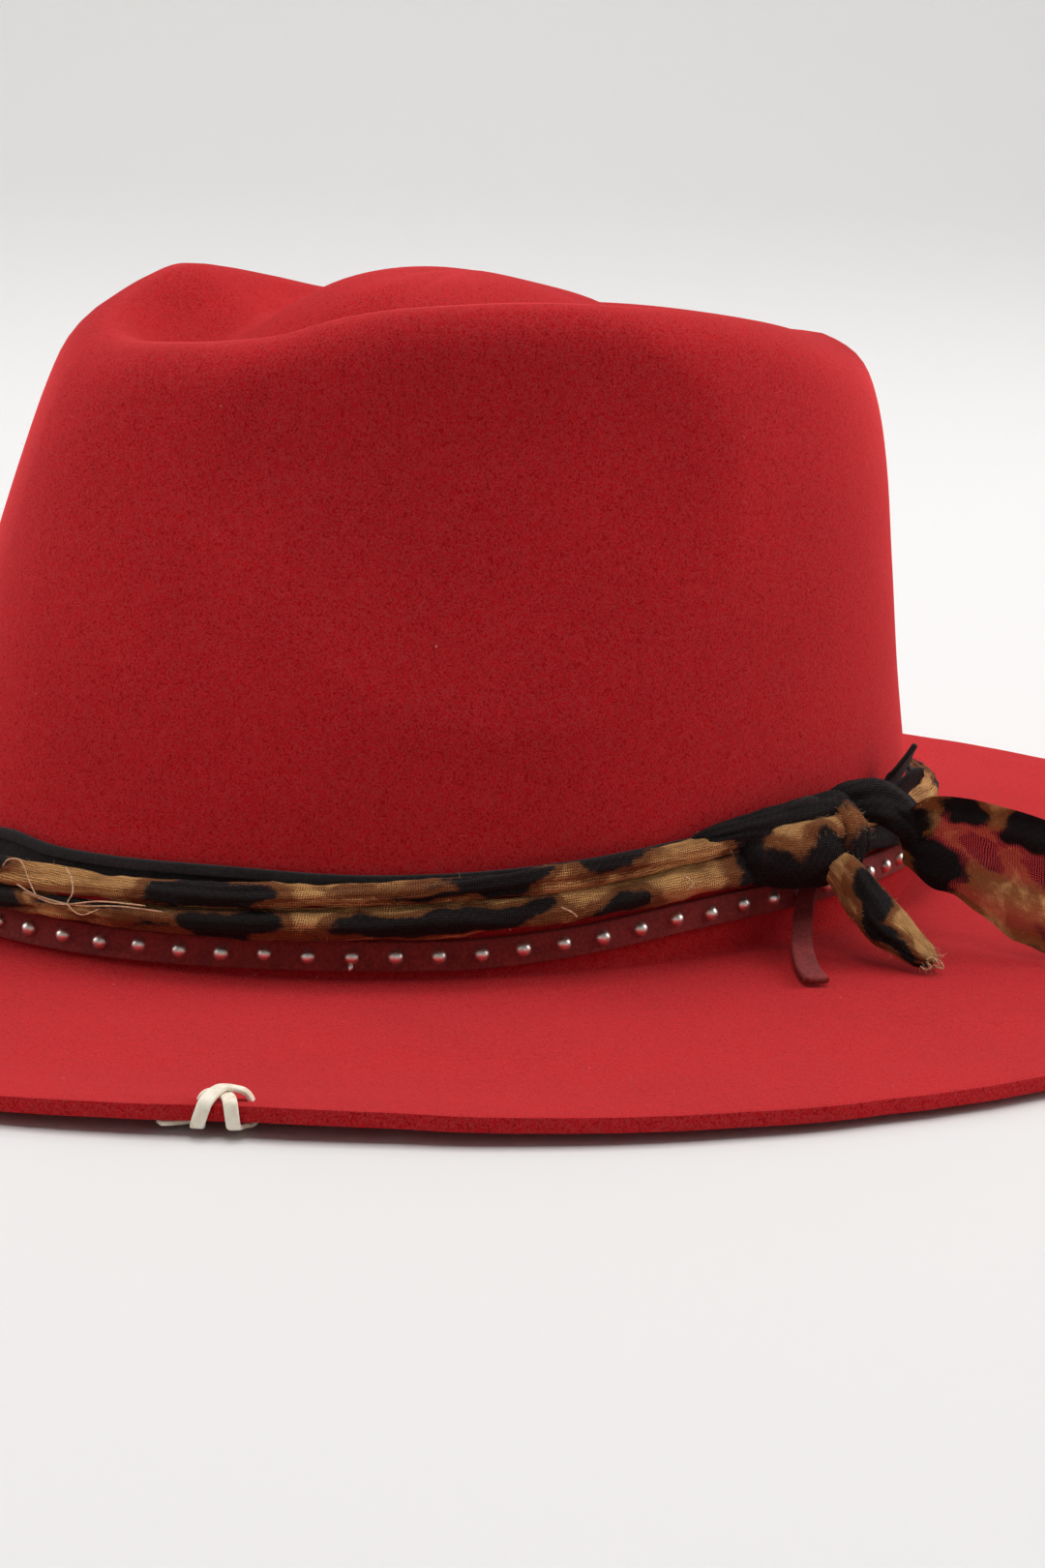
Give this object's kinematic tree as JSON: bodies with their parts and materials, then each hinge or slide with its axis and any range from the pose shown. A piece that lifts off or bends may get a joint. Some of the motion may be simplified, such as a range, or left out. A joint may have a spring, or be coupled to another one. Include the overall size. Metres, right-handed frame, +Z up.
{
  "type": "rancher hat",
  "caption": "Red felt rancher hat with a wide flat brim and a teardrop crown, open below for a head, trimmed with a knotted leopard gauze scarf, a studded strap and laces.",
  "frame": {"origin": "on the table, below the middle of the hat: the middle of the box's bottom, which is the middle of the head opening", "axes": "+Z up; the wearer looks along -Y, so +X is the wearer's left, where the scarf's knot is"},
  "size_m": [0.3514, 0.382, 0.1226],
  "materials": {
    "red_felt": "matt brushed wool felt, deep red, with a fine nap",
    "black_suede": "matt black suede lace",
    "leopard_gauze": "open-weave gauze, tan with soft-edged black spots",
    "red_suede": "matt dark red suede",
    "stud_metal": "polished nickel domes",
    "cream_leather": "smooth pale leather lace with cut edges"
  },
  "bodies": {
    "root": {"felt_body": "red_felt", "black_suede_band": "black_suede", "black_lace_end": "black_suede", "scarf_band": "leopard_gauze", "scarf_knot": "leopard_gauze", "scarf_short_tail": "leopard_gauze", "scarf_wide_tail": "leopard_gauze", "studded_strap": "red_suede", "strap_lace_end": "red_suede", "brim_lace_stitch": "cream_leather"}
  },
  "joints": []
}
